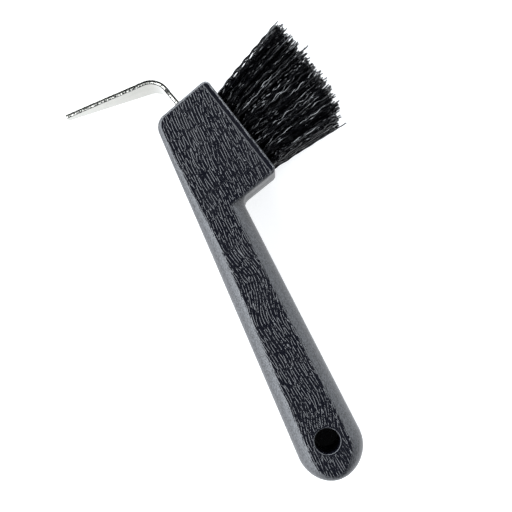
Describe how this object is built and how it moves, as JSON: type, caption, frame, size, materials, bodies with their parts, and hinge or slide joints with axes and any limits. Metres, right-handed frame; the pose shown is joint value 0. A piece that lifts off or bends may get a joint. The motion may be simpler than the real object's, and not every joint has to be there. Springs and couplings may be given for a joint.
{
  "type": "hoof pick",
  "caption": "Hoof pick with a grained plastic handle, a bent tapered steel pick and a stiff side brush of crimped bristle tufts.",
  "frame": {"origin": "on the flat back face, under the axis of the hang hole", "axes": "+Y along the handle from the hang hole to the head, +X towards the bristles, +Z out of the front face, so the part lies on its back"},
  "size_m": [0.1039, 0.1789, 0.02],
  "materials": {
    "handle_plastic": "black moulded plastic, leather grain on the faces, satin sides",
    "plated_steel": "nickel-plated steel strip with sheared edges",
    "bristle": "black crimped plastic filament",
    "anchor_wire": "flat drawn wire"
  },
  "bodies": {
    "root": {"handle": "handle_plastic", "steel_pick": "plated_steel", "anchor_staples": "anchor_wire", "bristle_tuft_r1_c1": "bristle", "bristle_tuft_r1_c2": "bristle", "bristle_tuft_r1_c3": "bristle", "bristle_tuft_r1_c4": "bristle", "bristle_tuft_r1_c5": "bristle", "bristle_tuft_r1_c6": "bristle", "bristle_tuft_r1_c7": "bristle", "bristle_tuft_r1_c8": "bristle", "bristle_tuft_r2_c1": "bristle", "bristle_tuft_r2_c2": "bristle", "bristle_tuft_r2_c3": "bristle", "bristle_tuft_r2_c4": "bristle", "bristle_tuft_r2_c5": "bristle", "bristle_tuft_r2_c6": "bristle", "bristle_tuft_r2_c7": "bristle", "bristle_tuft_r2_c8": "bristle", "bristle_tuft_r3_c1": "bristle", "bristle_tuft_r3_c2": "bristle", "bristle_tuft_r3_c3": "bristle", "bristle_tuft_r3_c4": "bristle", "bristle_tuft_r3_c5": "bristle", "bristle_tuft_r3_c6": "bristle", "bristle_tuft_r3_c7": "bristle", "bristle_tuft_r3_c8": "bristle"}
  },
  "joints": []
}
